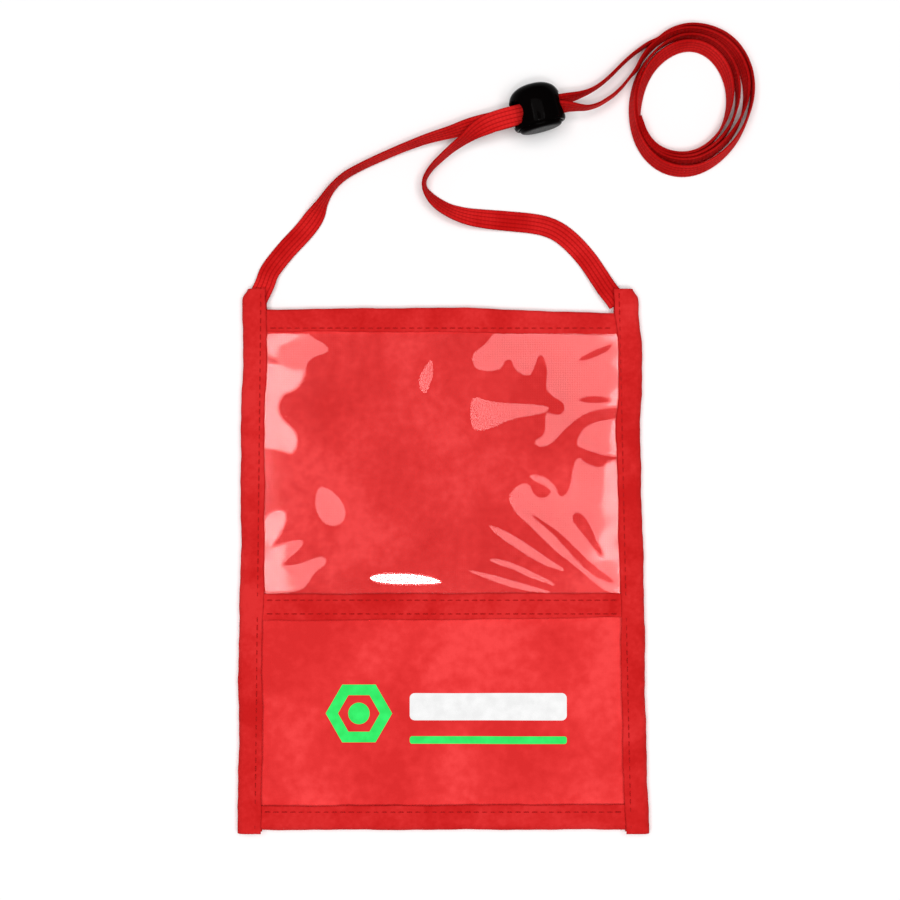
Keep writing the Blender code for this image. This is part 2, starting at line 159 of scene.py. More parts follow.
# The strap's two legs, as in the CAD: (x, y, z of its middle, roll in degrees). A roll of 0 lies flat and one
# of 90 stands on edge.
STRAP_WIDTH = 6.3
STRAP_THICKNESS = 0.84
STRAP_RIBS = 5
STRAP_STEP = 0.8
LEFT_ROUTE = [
    (-59.4, 80.6, 2.3, 0), (-58.2, 83.4, 2.3, 0), (-56.4, 87.2, 2.1, 0), (-54.6, 91.8, 1.4, 0),
    (-49.8, 98.1, 0.8, 0), (-44.5, 103.8, 0.9, 4), (-41.0, 108.2, 1.6, 22), (-38.2, 112.9, 3.0, 62),
    (-35.0, 117.7, 3.3, 76), (-30.9, 121.5, 3.3, 78), (-25.6, 124.5, 3.3, 78), (-20.2, 127.0, 3.5, 77),
    (-14.8, 129.3, 3.9, 76), (-9.8, 131.2, 4.5, 74), (-4.4, 133.0, 5.3, 70), (2.2, 134.7, 6.3, 62),
    (8.3, 136.3, 7.2, 45), (15.3, 137.6, 7.75, 18), (21.6, 139.3, 7.8, 5), (29.2, 141.7, 7.85, 32),
    (36.8, 144.4, 7.8, 62), (42.6, 146.2, 6.8, 80), (46.3, 147.8, 6.0, 88), (49.9, 150.2, 5.3, 90),
    (53.4, 153.4, 4.6, 90), (56.6, 156.7, 4.0, 90), (60.3, 160.0, 3.6, 90), (64.3, 162.8, 3.4, 89),
]
RIGHT_ROUTE = [
    (55.3, 81.2, 2.3, 0), (54.0, 83.1, 2.3, 0), (51.6, 86.2, 2.1, 0), (49.3, 89.8, 1.5, 0),
    (45.7, 95.2, 0.8, 0), (41.3, 100.2, 0.7, 0), (36.9, 103.8, 0.7, 0), (32.5, 105.8, 0.7, 0),
    (27.4, 106.8, 0.7, 0), (20.0, 107.5, 0.8, 4), (12.9, 108.1, 1.5, 16), (7.3, 108.9, 2.2, 30),
    (2.2, 110.5, 2.9, 44), (-1.9, 112.9, 3.2, 53), (-4.6, 115.6, 3.5, 66), (-5.9, 118.2, 3.7, 80),
    (-5.6, 120.8, 3.9, 84), (-3.6, 123.9, 4.3, 82), (-0.6, 126.8, 5.0, 79), (2.8, 129.6, 6.3, 75),
    (6.6, 132.2, 7.8, 66), (10.4, 134.9, 8.8, 44), (15.3, 137.3, 9.2, 16), (21.6, 139.2, 9.2, 4),
    (29.4, 140.9, 9.15, 32), (37.3, 142.1, 8.9, 62), (41.8, 142.2, 7.7, 80), (45.2, 142.3, 6.7, 88),
    (48.4, 143.3, 5.8, 90), (51.0, 144.8, 5.1, 90), (53.9, 146.9, 4.5, 90), (56.6, 149.6, 4.0, 90),
    (59.3, 153.0, 3.5, 90),
]

# The coil of spare strap. Its turns stand on edge in the ring between an oval hole and an oval outside,
# both leaning to the right.
COIL_CENTRE = (78.9, 145.3)
COIL_RADII = (19.2, 24.2)
COIL_HOLE_CENTRE = (75.7, 145.0)
COIL_HOLE_RADII = (12.9, 16.3)
COIL_LEAN = 12
COIL_STEP = 6
# Each half of the strap goes round twice clockwise: turn in degrees, share of the ring from its hole to its
# outside, and roll. The two halves meet at the bight.
OUTER_STRAND = [
    (140, 1.16, 89), (120, 1.04, 88), (105, 0.94, 88), (90, 0.875, 88), (45, 0.94, 88), (20, 0.95, 89),
    (0, 0.87, 93), (-45, 0.75, 108), (-90, 0.775, 118), (-135, 0.925, 109), (-180, 0.93, 98),
    (-200, 0.81, 96), (-225, 0.65, 92), (-270, 0.49, 82), (-315, 0.465, 80), (-340, 0.45, 84),
    (-360, 0.43, 94), (-380, 0.38, 98), (-405, 0.30, 100), (-450, 0.205, 97), (-495, 0.37, 93),
    (-508, 0.34, 91),
]
INNER_STRAND = [
    (167, 1.28, 84), (147, 1.10, 80), (127, 0.92, 80), (110, 0.79, 80), (90, 0.70, 80), (45, 0.745, 72),
    (20, 0.755, 76), (0, 0.68, 94), (-20, 0.58, 102), (-45, 0.465, 104), (-90, 0.36, 101), (-135, 0.53, 93),
    (-150, 0.43, 82), (-162, 0.31, 74), (-180, 0.23, 66), (-200, 0.21, 64), (-225, 0.16, 62),
    (-270, 0.19, 66), (-315, 0.185, 66), (-340, 0.19, 74), (-360, 0.175, 84), (-380, 0.17, 92),
    (-405, 0.14, 95), (-450, 0.06, 94), (-495, 0.20, 91), (-508, 0.17, 90),
]
BIGHT = (-514, 0.255, 90)
STOP_BLUR = (-10, 0, 10)
TURN_CLEARANCE = 0.15
TURN_SWAY = 0.12

# The cord lock, as in the CAD: turned about its own Z, along which its button is pressed.
LOCK_CENTRE = (29.0, 142.5, 8.5)
LOCK_ANGLE = 14.5
LOCK_ROLL = 12
LOCK_SIDES = 128
SHARP_EDGE = 32
CUT_REACH = 12
SLOT_Z = (-4.85, 2.4)
SLOT_HALF_WIDTH = 4.9
SLOT_ROUNDING = 1.2
MOUTH_FROM_CENTRE = 8.6
MOUTH_RADII = (4.2, 7.2, 4.2)
DOME = [
    (0.0, 7.0), (2.2, 6.92), (4.0, 6.6), (5.6, 5.9), (6.9, 4.85), (7.7, 3.5), (8.2, 2.0), (8.4, 0.2),
    (8.4, -2.6), (8.3, -4.6), (8.1, -5.9), (7.75, -6.3),
]
CAVITY = [(7.1, -6.3), (7.1, 3.9), (6.1, 3.9), (6.1, 4.85), (4.2, 4.85), (4.2, 6.2), (0.0, 6.2)]
BUTTON = [(0.0, -7.7), (4.6, -7.7), (5.6, -7.62), (6.25, -7.4), (6.62, -7.0), (6.75, -6.5)]
PLUNGER = [(6.75, -6.5), (6.75, 2.5), (5.8, 2.5), (5.8, 3.4), (0.0, 3.4)]
PLUNGER_WINDOW = ((-CUT_REACH, -5.05, -6.15), (CUT_REACH, 5.05, 2.45))
SPRING_Z = (3.75, 5.85)
SPRING_RADIUS = 3.2
SPRING_WIRE_RADIUS = 0.2
SPRING_TURNS = 2.25
SPRING_STEPS = 120
SPRING_SIDES = 10

# Camera: straight down, the picture 284 mm wide at the wallet's face.
CAMERA_OVER = (2.2, 35.0)
CAMERA_HEIGHT = 603.0
VIEW_WIDTH = 283.95
SENSOR = 36.0

# Softboxes, their edges as slopes from straight up over the camera and their heights in metres: a frame with
# a dark middle, a brighter strip on each side, and a small very bright one low down, for the window's glint.
LIGHT_HEIGHT = 2.4
STRIP_HEIGHT = 2.35
FRAME_INNER = 0.125
FRAME_OUTER = 0.42
FRAME_RADIANCE = 4.35
STRIPS = [
    ("left_strip", -0.44, -0.34, -0.20, 0.20, 8.0),
    ("right_strip", 0.34, 0.44, -0.20, 0.20, 8.0),
    ("glint_strip", -0.035, 0.035, -0.325, -0.275, 110.0),
]
WORLD_STRENGTH = 0.12
FLOOR_HALF_SIZE = 3.0
FLOOR_Z = -0.1
FLOOR_WHITE = 0.95

# Looks that more than one piece shares, each red from its darkest to its lightest: the spread between them is
# partly uneven dye and partly painted shade and light, standing in for the cloth's soft undulations and for
# the hollows between its threads.
PANEL_RED = [(0.68, 0.0235, 0.0235), (0.785, 0.0365, 0.0365), (0.92, 0.062, 0.062)]
TAPE_RED = [(0.56, 0.0105, 0.0105), (0.64, 0.018, 0.018), (0.72, 0.029, 0.029)]
VINYL_MIRROR = 0.032
WEAVE_PITCH = 0.55
WEAVE_DEPTH = 0.05

# The print: a hexagon ring round a dot, then a white bar over a green line.
PRINT_HALF_HEIGHT = 0.04
PRINT_GRID = 1.5
HEXAGON_CENTRE = (-26.5, -48.0)
HEXAGON_RADIUS = 10.5
HEXAGON_HOLE_RADIUS = 6.6
DOT_RADIUS = 3.4
BAR_X = (-10.5, 39.0)
WHITE_BAR_Y = (-50.2, -41.6)
GREEN_LINE_Y = (-57.6, -55.2)


# ------------ small maths

def side_edge(side, y):
    """The x of the wallet's outer edge at a height y: side is -1 for the left and 1 for the right."""
    lean = RIGHT_LEAN if side > 0 else LEFT_LEAN
    return side * (BOTTOM_HALF_WIDTH - lean * (y + HALF_HEIGHT) / (2 * HALF_HEIGHT))


def ease(t):
    t = np.clip(t, 0.0, 1.0)
    return t * t * (3 - 2 * t)


def eased_stops(value, stops):
    """A smooth run through (value, result) stops."""
    total = np.full_like(np.asarray(value, float), stops[0][1])
    for (a, start), (b, end) in zip(stops, stops[1:]):
        total = total + (end - start) * ease((value - a) / (b - a))
    return total


def ripple(t, seed, wavelengths=(37.0, 17.3, 7.9)):
    """An uneven wave between about -1 and 1."""
    total = 0.0
    for k, wavelength in enumerate(wavelengths):
        total = total + np.sin(2 * np.pi * t / wavelength + seed * (1.7 + k)) / (k + 1)
    return total / sum(1 / (k + 1) for k in range(len(wavelengths)))


def rumple(x, y, seed, size):
    """Uneven soft hills between about -1 and 1, the largest of them size across."""
    total = 0.0
    for k in range(6):
        turn = seed * 1.3 + k * 2.4
        wavelength = size / (1 + 0.4 * k)
        total = total + np.sin(
            2 * np.pi * (x * math.cos(turn) + y * math.sin(turn)) / wavelength + seed * k * 1.9
        ) / (1 + 0.5 * k)
    return total / 3.0


def near(t, middle, width):
    return np.exp(-(((t - middle) / width) ** 2))


# ------------ meshes

def added(name, data):
    """A new object in the scene."""
    obj = bpy.data.objects.new(name, data)
    bpy.context.scene.collection.objects.link(obj)
    return obj


def link(name, data, look, body="wallet"):
    """A piece with its look, riding its body. Only the floor has no body to ride."""
    obj = added(name, data)
    data.materials.append(look)
    if body:
        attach(obj, body)
    return obj


def mesh_of(name, points, faces, uvs=None):
    """A smooth-shaded mesh from points in millimetres."""
    mesh = bpy.data.meshes.new(name)
    mesh.from_pydata((np.asarray(points, float) * MM).tolist(), [], [list(map(int, face)) for face in faces])
    mesh.update()
    mesh.polygons.foreach_set("use_smooth", [True] * len(mesh.polygons))
    if uvs is not None:
        layer = mesh.uv_layers.new(name="UVMap")
        corners = np.empty(len(mesh.loops), np.int32)
        mesh.loops.foreach_get("vertex_index", corners)
        layer.data.foreach_set("uv", np.asarray(uvs, np.float32)[corners].ravel())
    return mesh


def evaluated_mesh(obj):
    bpy.context.view_layer.update()
    return bpy.data.meshes.new_from_object(obj.evaluated_get(bpy.context.evaluated_depsgraph_get()))


def full_turn(count):
    """Even angles round a circle."""
    return np.linspace(0.0, 2 * np.pi, count, endpoint=False)


def ring_faces(rings, sides):
    """Quads between rings of the same number of points, and a face over each end."""
    faces = []
    for i in range(rings - 1):
        for j in range(sides):
            k = (j + 1) % sides
            faces.append((i * sides + j, i * sides + k, (i + 1) * sides + k, (i + 1) * sides + j))
    last = (rings - 1) * sides
    return faces + [tuple(range(sides))[::-1], tuple(last + j for j in range(sides))]


def outward(mesh):
    shape = bmesh.new()
    shape.from_mesh(mesh)
    bmesh.ops.recalc_face_normals(shape, faces=shape.faces)
    shape.to_mesh(mesh)
    shape.free()
    return mesh


def swept(name, rings, look, uvs=None, body="wallet"):
    """A closed solid from an array of rings of points, each ring the same section further along."""
    count, sides = rings.shape[:2]
    mesh = mesh_of(name, rings.reshape(-1, 3), ring_faces(count, sides), uvs)
    return link(name, outward(mesh), look, body)


def slab(name, x, y, z, thickness, look):
    """A closed sheet from grids of its middle surface."""
    rows, columns = x.shape
    top = np.stack([x, y, z + thickness / 2], -1).reshape(-1, 3)
    below = np.stack([x, y, z - thickness / 2], -1).reshape(-1, 3)
    count = rows * columns
    faces = []
    for i in range(rows - 1):
        for j in range(columns - 1):
            a = i * columns + j
            quad = (a, a + 1, a + columns + 1, a + columns)
            faces.append(quad)
            faces.append(tuple(count + k for k in quad[::-1]))
    index = np.arange(count).reshape(rows, columns)
    rim = [*index[0], *index[1:, -1], *index[-1, -2::-1], *index[-2:0:-1, 0]]
    for a, b in zip(rim, rim[1:] + rim[:1]):
        faces.append((b, a, count + a, count + b))
    return link(name, mesh_of(name, np.concatenate([top, below]), faces), look, "wallet")


# ------------ materials

class Look:
    """A Principled material and short ways to feed it."""

    def __init__(self, name, **sockets):
        self.material = bpy.data.materials.new(name)
        self.material.use_nodes = True
        self.nodes = self.material.node_tree.nodes
        self.links = self.material.node_tree.links
        self.shader = self.nodes["Principled BSDF"]
        for socket, value in sockets.items():
            self.shader.inputs[socket.replace("_", " ")].default_value = value
        self.coordinates = self.nodes.new("ShaderNodeTexCoord")

    def feed(self, socket, value):
        """Links a node's output to a socket, or sets the socket to a plain value."""
        if hasattr(value, "links"):
            self.links.new(value, socket)
        else:
            socket.default_value = value

    def noise(self, scale, detail=3.0, distortion=0.0):
        node = self.nodes.new("ShaderNodeTexNoise")
        node.inputs["Scale"].default_value = scale
        node.inputs["Detail"].default_value = detail
        node.inputs["Distortion"].default_value = distortion
        self.feed(node.inputs["Vector"], self.coordinates.outputs["Object"])
        return node.outputs["Fac"]

    def bands(self, pitch, direction):
        """Even stripes that repeat every pitch of the coordinate."""
        node = self.nodes.new("ShaderNodeTexWave")
        node.bands_direction = direction
        node.inputs["Scale"].default_value = math.pi / 10 / pitch
        node.inputs["Detail"].default_value = 1.0
        self.feed(node.inputs["Vector"], self.coordinates.outputs["Object"])
        return node.outputs["Fac"]

    def weave(self, pitch):
        """Crossed threads."""
        return self.maths("MULTIPLY", self.bands(pitch * MM, "X"), self.bands(pitch * MM, "Y"))

    def maths(self, operation, first, second):
        node = self.nodes.new("ShaderNodeMath")
        node.operation = operation
        self.feed(node.inputs[0], first)
        self.feed(node.inputs[1], second)
        return node.outputs[0]

    def spread(self, value, low, high, to_low=0.0, to_high=1.0):
        """The run from low to high, stretched over the run from to_low to to_high."""
        node = self.nodes.new("ShaderNodeMapRange")
        node.inputs["From Min"].default_value = low
        node.inputs["From Max"].default_value = high
        node.inputs["To Min"].default_value = to_low
        node.inputs["To Max"].default_value = to_high
        self.feed(node.inputs["Value"], value)
        return node.outputs["Result"]

    def blend(self, factor, first, second):
        node = self.nodes.new("ShaderNodeMix")
        node.data_type = "RGBA"
        self.feed(node.inputs["Factor"], factor)
        for index, colour in ((6, first), (7, second)):
            self.feed(node.inputs[index], colour if hasattr(colour, "links") else (*colour, 1.0))
        return node.outputs[2]

    def bump(self, height, distance, strength=1.0):
        """Adds relief on top of any that the material has already."""
        node = self.nodes.new("ShaderNodeBump")
        node.inputs["Distance"].default_value = distance
        node.inputs["Strength"].default_value = strength
        self.links.new(height, node.inputs["Height"])
        if self.shader.inputs["Normal"].is_linked:
            self.links.new(self.shader.inputs["Normal"].links[0].from_socket, node.inputs["Normal"])
        self.links.new(node.outputs["Normal"], self.shader.inputs["Normal"])

    def colour(self, value):
        self.feed(self.shader.inputs["Base Color"], value)

    def rough(self, value):
        self.feed(self.shader.inputs["Roughness"], value)


def woven(name, dark, middle, light, pitch, mottle):
    """Plain-woven red fabric: crossed threads in its bump, painted shade in the hollows between the threads,
    and soft clouds of lighter and darker red that are partly uneven dye and partly painted shade and light of
    the cloth's undulations.
    """
    look = Look(name, Roughness=0.85, Sheen_Weight=0.04, Sheen_Roughness=0.5, Specular_IOR_Level=0.06)
    look.shader.inputs["Sheen Tint"].default_value = (1.0, 0.2, 0.2, 1.0)
    broad = look.noise(mottle, 3.0, distortion=0.5)
    fine = look.noise(mottle * 11, 3.0)
    # Painted shade and light: these clouds of lighter and darker red stand partly for the shading of the
    # cloth's soft undulations and partly for uneven dye.
    dye_and_shade_clouds = look.maths("ADD", look.maths("MULTIPLY", broad, 0.72), look.maths("MULTIPLY", fine, 0.28))
    mixed = look.blend(look.spread(dye_and_shade_clouds, 0.38, 0.50), dark, middle)
    mixed = look.blend(look.spread(dye_and_shade_clouds, 0.50, 0.62), mixed, light)
    weave = look.weave(pitch)
    # Painted shade: the colour darkens towards the dark red in the hollows between the crossed threads.
    look.colour(look.blend(look.spread(weave, 0.0, 1.0, 0.14, 0.0), mixed, dark))
    look.rough(look.spread(fine, 0.3, 0.7, 0.78, 0.92))
    look.bump(weave, WEAVE_DEPTH * MM, 0.6)
    look.bump(look.noise(mottle * 30, 2.0), 0.04 * MM, 0.5)
    return look.material


def strap_look():
    """Ribbed knitted tape: V-shaped stitches along each rib, with painted shade darkening the grooves between
    the ribs and the hollows of the stitches.
    """
    look = Look("ribbed strap", Roughness=0.75, Specular_IOR_Level=0.06)
    parts = look.nodes.new("ShaderNodeSeparateXYZ")
    look.links.new(look.coordinates.outputs["UV"], parts.inputs[0])
    along, across = parts.outputs[0], parts.outputs[1]
    phase = look.maths("MULTIPLY", across, STRAP_RIBS * math.pi)
    crown = look.maths("ABSOLUTE", look.maths("SINE", phase, 0.0), 0.0)
    slant = look.maths("MULTIPLY", crown, 2.4)
    chevron = look.maths("SINE", look.maths("ADD", look.maths("MULTIPLY", along, 5.2), slant), 0.0)
    chevron = look.spread(chevron, -1.0, 1.0)
    mottle = look.spread(look.noise(75.0, 3.0), 0.35, 0.65)
    base = look.blend(mottle, (0.52, 0.004, 0.004), (0.72, 0.016, 0.016))
    # Painted shade: darker red in the grooves between the ribs.
    rib_groove_shaded = look.blend(look.spread(crown, 0.0, 0.6, 0.8, 0.0), base, (0.28, 0.0, 0.0))
    # Painted shade: darker again in the hollows of the V-shaped stitches.
    look.colour(look.blend(look.spread(chevron, 0.0, 1.0, 0.22, 0.0), rib_groove_shaded, (0.34, 0.001, 0.001)))
    look.bump(chevron, 0.10 * MM, 0.7)
    look.bump(look.noise(900.0, 2.0), 0.04 * MM, 0.5)
    return look.material


def thread_look():
    look = Look("sewing thread", Roughness=0.6, Specular_IOR_Level=0.12)
    twist = look.bands(0.34 * MM, "DIAGONAL")
    # Painted shade and light: darker red in the grooves of the twist, where the bump sinks, and lighter on
    # the crowns of the plies.
    look.colour(look.blend(twist, (0.30, 0.002, 0.002), (0.60, 0.012, 0.012)))
    look.bump(twist, 0.05 * MM)
    return look.material


def vinyl_look():
    """Clear film: each face mirrors a few hundredths of the light and lets the rest by; the mirrored light is
    tinted red, a painted reflection colour standing in for light from the red cloth beneath.
    """
    look = Look("clear vinyl", Metallic=1.0, Roughness=0.08, Alpha=VINYL_MIRROR)
    # Painted reflection colour: the red tint stands in for light bounced up from the red cloth beneath.
    look.colour((1.0, 0.52, 0.52, 1.0))
    look.rough(look.spread(look.noise(70.0, 2.0), 0.3, 0.7, 0.065, 0.09))
    return look.material


def print_look(name, dark, light):
    """Screen-printed ink: flat and slightly uneven, the weave just showing through."""
    look = Look(name, Roughness=0.6, Specular_IOR_Level=0.3)
    look.colour(look.blend(look.spread(look.noise(260.0, 3.0), 0.35, 0.65), dark, light))
    look.bump(look.weave(WEAVE_PITCH), 0.03 * MM, 0.5)
    return look.material


def plastic_look(name, roughness):
    """Moulded black plastic, glossy, with faint flow marks and fine scuffs."""
    look = Look(name, IOR=1.5, Specular_IOR_Level=0.008)
    look.colour(look.blend(look.noise(140.0, 3.0), (0.001, 0.0007, 0.0007), (0.002, 0.0013, 0.0013)))
    look.rough(look.spread(look.noise(900.0, 4.0), 0.5, 0.75, roughness, roughness + 0.12))
    look.bump(look.noise(260.0, 2.0), 0.02 * MM, 0.4)
    return look.material


def steel_look():
    look = Look("spring steel", Metallic=1.0, Roughness=0.3)
    look.colour(look.blend(look.noise(600.0, 2.0), (0.46, 0.46, 0.48), (0.62, 0.62, 0.64)))
    look.rough(look.spread(look.noise(2000.0, 2.0), 0.3, 0.7, 0.22, 0.38))
    return look.material


CLOTH = woven("woven cloth", *PANEL_RED, pitch=WEAVE_PITCH, mottle=30.0)
TAPE_CLOTH = woven("binding tape", *TAPE_RED, pitch=0.5, mottle=70.0)
STRAP = strap_look()
THREAD = thread_look()
VINYL = vinyl_look()
GREEN_INK = print_look("green ink", (0.0, 0.72, 0.09), (0.01, 0.86, 0.13))
WHITE_INK = print_look("white ink", (0.80, 0.80, 0.80), (0.88, 0.88, 0.88))
BARREL_PLASTIC = plastic_look("glossy black plastic", 0.10)
BUTTON_PLASTIC = plastic_look("black button plastic", 0.2)
STEEL = steel_look()


# ------------ the wallet's cloth

def side_fade(x, y, reach=6.0):
    """0 at the side seams, 1 once reach millimetres inside them."""
    inside = np.minimum(x - side_edge(-1, y), side_edge(1, y) - x) - BINDING_WIDTH
    return ease(inside / reach)


def face_height(x, y):
    """The middle of the front cloth: it puffs a little below the window and puckers at its seams."""
    fade = side_fade(x, y)
    pocket = ease((y - BOTTOM_BINDING[1] + 1) / 10) * ease((MIDDLE_TAPE[0] + 1 - y) / 9)
    window = ease((y - MIDDLE_TAPE[1] + 1) / 10) * ease((TOP_HEM[0] - y) / 8)
    height = FRONT_PANEL_Z + pocket * (POCKET_PUFF + POCKET_WAVE * rumple(x, y, 2.0, 62.0)) * fade
    height = height + window * WINDOW_WAVE * rumple(x, y, 5.0, 48.0) * fade
    diagonal = np.sin(2 * np.pi * (x * 0.45 - y * 0.9) / 31.0 + 1.3 * rumple(x, y, 3.0, 70.0))
    height = height + POCKET_DIAGONAL * pocket * diagonal * fade
    above_binding = np.clip(y - BOTTOM_BINDING[1] + 1, 0, None)
    below_tape = np.clip(MIDDLE_TAPE[0] - y, 0, None)
    bottom_pucker = np.exp(-above_binding / 3.6) * ripple(x, 4.0, (13.0, 7.7, 4.4))
    top_pucker = np.exp(-below_tape / 3.0) * ripple(x, 6.0, (17.0, 9.1, 5.2))
    puckers = BOTTOM_PUCKER * bottom_pucker + TOP_PUCKER * top_pucker
    return height + puckers * fade * (y < MIDDLE_TAPE[0] + 2)


def panel_grid(low, high, inset, columns, rows):
    """Grids of x and y that follow the wallet's leaning sides, inset from them."""
    y = np.linspace(low, high, rows)[:, None] * np.ones((1, columns))
    across = np.linspace(0.0, 1.0, columns)[None, :]
    left = side_edge(-1, y) + inset
    right = side_edge(1, y) - inset
    return left + (right - left) * across, y


def cloth_panels():
    x, y = panel_grid(PANEL_BOTTOM, PANEL_TOP, PANEL_INSET, *FRONT_PANEL_GRID)
    front = slab("front_cloth", x, y, face_height(x, y), TAPE, CLOTH)
    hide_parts("front_panel")
    x, y = panel_grid(PANEL_BOTTOM, PANEL_TOP, PANEL_INSET, *BACK_PANEL_GRID)
    height = BACK_PANEL_Z + BACK_PANEL_WAVE * rumple(x, y, 8.0, 55.0)
    back = slab("back_cloth", x, y, height, TAPE, CLOTH)
    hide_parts("back_panel")
    return front, back


# ------------ the vinyl window

def smooth_outline(points, passes=2):
    """Corner cutting round a closed outline."""
    points = np.array(points, float)
    for _ in range(passes):
        after = np.roll(points, -1, axis=0)
        points = np.stack([0.75 * points + 0.25 * after, 0.25 * points + 0.75 * after], 1).reshape(-1, 2)
    return points


def depth_inside(x, y, outline):
    """The distance to a closed outline, positive inside it and negative outside."""
    points = smooth_outline(outline)
    nearest = np.full(x.shape, 1e9)
    inside = np.zeros(x.shape, bool)
    for (ax, ay), (bx, by) in zip(points, np.roll(points, -1, axis=0)):
        run, rise = bx - ax, by - ay
        along = np.clip(((x - ax) * run + (y - ay) * rise) / (run * run + rise * rise + 1e-9), 0, 1)
        nearest = np.minimum(nearest, np.hypot(x - ax - along * run, y - ay - along * rise))
        inside ^= ((ay > y) != (by > y)) & (x < run * (y - ay) / (rise + 1e-12) + ax)
    return np.where(inside, nearest, -nearest)


def facets(x, y):
    """How far each point lies inside the bright facets, with the dark creases taken out of them."""
    bright = np.max([depth_inside(x, y, outline) for outline in BRIGHT_FACETS], axis=0)
    dark = np.max([depth_inside(x, y, outline) for outline in DARK_CREASES], axis=0)
    return np.minimum(bright, -dark)


def vinyl_height(x, y, depth):
    """The middle of the clear window: it bows up from its seams, and its facets stand proud."""
    bow = side_fade(x, y, 22) * ease((y - MIDDLE_TAPE[1] + 2) / 14) * (1 - 0.5 * ease((y - 58) / 14))
    relief = FACET_RELIEF * ease(depth / 3.0)
    swell = bow * (VINYL_BOW + VINYL_WAVE * rumple(x, y, 9.0, 40.0))
    return FRONT_PANEL_Z + VINYL_CLEARANCE + swell + relief


def vinyl_tilt(x, y, depth):
    """Which way the surface leans: nearly level outside its facets, and outwards on them."""
    across, up = x - CAMERA_OVER[0], y - CAMERA_OVER[1]
    on_facet = ease(depth / FACET_EDGE + 0.5)
    wave = rumple(x, y, 7.0, 26.0)
    edge = ease((np.abs(across) - 42) / 15) * (0.65 + 0.35 * rumple(0.35 * x, y, 4.0, 15.0))
    outwards = FACET_TILT * (1 + 0.35 * wave) + EDGE_TILT * edge
    lean_x = np.sign(across) * outwards * on_facet
    lean_y = 0.02 * rumple(x, y, 11.0, 30.0) * on_facet
    lean_x = lean_x + 0.004 * rumple(x, y, 6.0, 35.0) * (1 - on_facet)
    on_glint = ease(depth_inside(x, y, GLINT) / FACET_EDGE + 0.5)
    toward_strip = (GLINT_SLOPE - up / CAMERA_HEIGHT) / 2
    lean_x = lean_x * (1 - on_glint) - on_glint * across / CAMERA_HEIGHT / 2
    lean_y = lean_y * (1 - on_glint) + on_glint * toward_strip
    return lean_x, lean_y


def vinyl_window():
    """A closed film whose shading leans a little more than its relief, as stretched film looks."""
    x, y = panel_grid(*VINYL_EDGES, VINYL_INSET, *VINYL_GRID)
    depth = facets(x, y)
    window = slab("clear_window", x, y, vinyl_height(x, y, depth), VINYL_THICKNESS, VINYL)
    lean_x, lean_y = vinyl_tilt(x, y, depth)
    normals = np.stack([lean_x, lean_y, np.ones_like(x)], -1).reshape(-1, 3)
    normals /= np.linalg.norm(normals, axis=1)[:, None]
    window.data.normals_split_custom_set_from_vertices(np.concatenate([normals, -normals]).tolist())
    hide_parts("vinyl_window")
    return window


# ------------ tapes

def arc(centre, radius, start, end, steps):
    turns = np.radians(np.linspace(start, end, steps))
    return np.stack([centre[0] + radius * np.cos(turns), centre[1] + radius * np.sin(turns)], -1)


def fold_section(width, height, straight=12):
    """A tape folded round an edge: (distance from its free edges, height), the fold at the far end."""
    outer = height / 2
    centre = (width - outer, outer)
    across = np.linspace(0.12, centre[0], straight)
    low = np.stack([across, np.zeros(straight)], -1)
    high = np.stack([across[::-1], np.full(straight, height)], -1)
    under = np.stack([across, np.full(straight, height - TAPE)], -1)
    inside = np.stack([across[::-1], np.full(straight, TAPE)], -1)
    rounded = [
        low, arc(centre, outer, -78, 78, 9), high, [(0.0, height - TAPE / 2)], under,
        arc(centre, outer - TAPE, 78, -78, 9), inside, [(0.0, TAPE / 2)],
    ]
    return np.concatenate([np.asarray(part, float) for part in rounded])


def flat_section(width, thickness, steps=16):
    """A flat tape with both edges turned under, its middle at height 0."""
    across = np.linspace(0.0, 1.0, steps)
    half = thickness / 2 * np.sqrt(np.clip(1 - (2 * across - 1) ** 10, 0.12, 1))
    top = np.stack([across * width, half], -1)
    return np.concatenate([top, np.stack([across[::-1] * width, -half[::-1]], -1)])


def sewn(across, along, at):
    """How far a seam pulls the tape down: a groove with a deeper dimple at each needle hole."""
    dimples = 0.72 + 0.28 * np.cos(2 * np.pi * along / STITCH_PITCH)
    return -0.2 * near(across, at, 0.55) * dimples + 0.05 * near(across, at, 1.6)


def stations(low, high):
    """Even places from low to high, four to a stitch."""
    return np.linspace(low, high, int((high - low) / (STITCH_PITCH / 4)))


def side_binding(side):
    name = "right_side_tape" if side > 0 else "left_side_tape"
    section = fold_section(BINDING_WIDTH, BINDING_HEIGHT)
    y = stations(-HALF_HEIGHT + 0.2, HALF_HEIGHT - 0.3)[:, None]
    w, z = section[:, 0][None, :], section[:, 1][None, :]
    seed = 3.0 + side
    edge = side_edge(side, y) + side * eased_stops(y, RIGHT_EDGE if side > 0 else LEFT_EDGE)
    fold = w / BINDING_WIDTH
    inner = 0.28 * ripple(y, seed) * (1 - fold)
    outer = 0.22 * ripple(y, seed + 2, (29.0, 13.1, 5.7)) * fold
    corner = ease((y - HALF_HEIGHT + 3.2) / 3.0) * ease((fold - 0.45) / 0.55) * 1.5
    x = edge - side * (BINDING_WIDTH - w) - side * (inner + outer + corner)
    upper = ease((z - 2.0) / 2.0)
    over_tapes = sum(near(y, middle, 4.5) for middle in CROSS_TAPES_Y)
    lift = upper * (0.32 * over_tapes + 0.12 * ripple(y, seed + 4, (23.0, 11.0, 6.1)))
    pucker = 0.07 * np.sin(2 * np.pi * y / (3 * STITCH_PITCH) + seed) * near(w, 3.4, 2.0)
    height = z + lift + upper * (sewn(w, y, SIDE_STITCH_INSET) + pucker)
    rings = np.stack([x, y + 0 * w, height + 0 * y], -1)
    binding = swept(name, rings, TAPE_CLOTH)
    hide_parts("right_binding" if side > 0 else "left_binding")
    return binding


